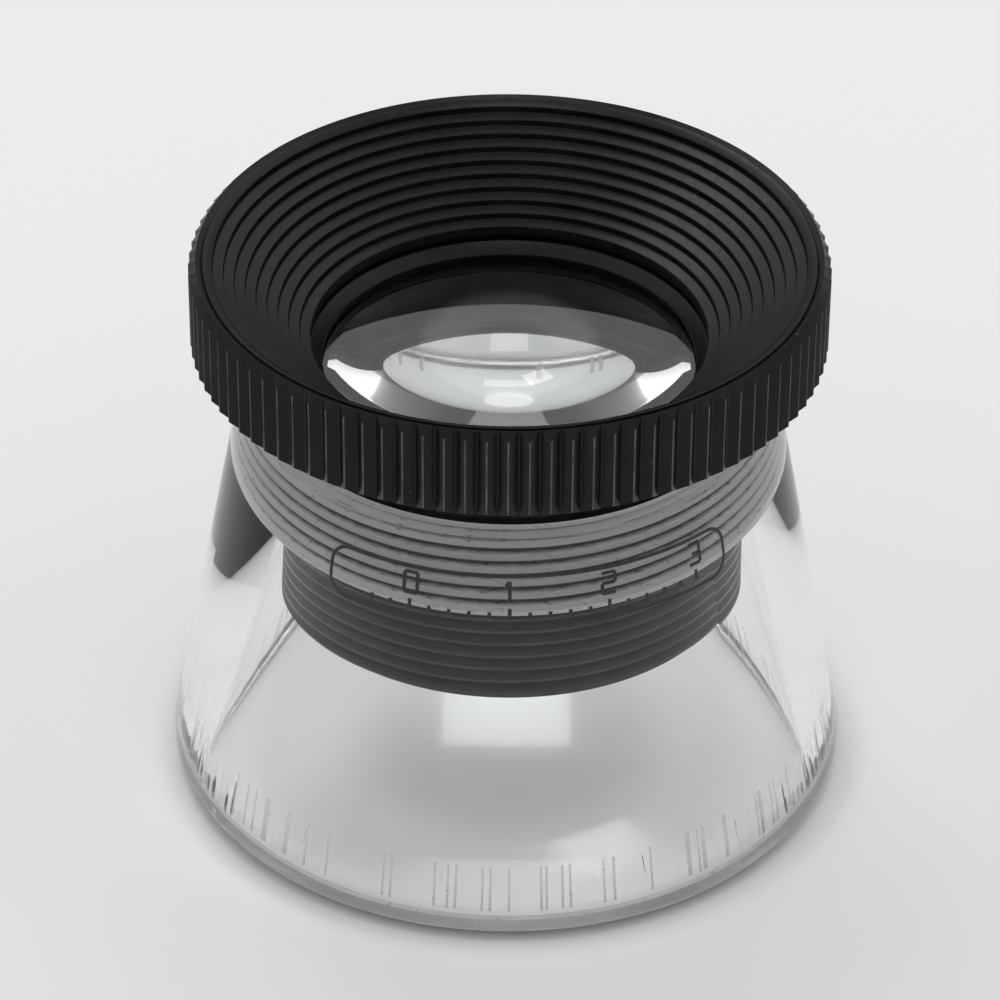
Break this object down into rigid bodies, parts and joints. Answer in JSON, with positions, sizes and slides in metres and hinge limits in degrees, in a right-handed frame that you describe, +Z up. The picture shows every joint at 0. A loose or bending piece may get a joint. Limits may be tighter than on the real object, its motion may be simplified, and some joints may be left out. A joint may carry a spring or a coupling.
{
  "type": "jewelers loupe",
  "caption": "Stand magnifier: a black lens barrel with a toothed, stepped eyecup screws up and down in a clear tapered skirt to focus on what lies under it.",
  "frame": {"origin": "on the optical axis, in the plane of the foot's underside", "axes": "+Z up along the optical axis from the foot to the eye; -Y faces the side that carries the focus scale; +X to the right seen from that side"},
  "size_m": [0.042, 0.042, 0.0357],
  "materials": {
    "clear_acrylic": "clear moulded acrylic, polished outside, faint draw marks inside",
    "black_plastic": "black plastic turned to a satin finish, teeth and rim worn a little lighter",
    "black_anodised": "matt black anodised, turned",
    "lens_glass": "polished optical glass with a faint blue coating"
  },
  "bodies": {
    "stand": {"clear_stand": "clear_acrylic"},
    "lenses": {"eye_lens": "lens_glass", "field_lens_crown": "lens_glass", "field_lens_flint": "lens_glass"},
    "barrel": {"lens_barrel": "black_plastic", "eyecup_ring": "black_plastic", "lens_spacer": "black_anodised", "retaining_ring": "black_anodised"}
  },
  "joints": [
    {"name": "focus_travel", "type": "slide", "parent": "stand", "child": "lenses", "axis": [0, 0, 1], "range_m": [-0.00315, 0.0045]},
    {"name": "focus_turn", "type": "hinge", "parent": "lenses", "child": "barrel", "pos_m": [0, 0, 0.0205], "axis": [0, 0, 1], "range_deg": [-1260, 1800]}
  ],
  "couplings": [
    {"joint": "focus_travel", "follows": "focus_turn", "m_per_rad": 0.00014324}
  ]
}
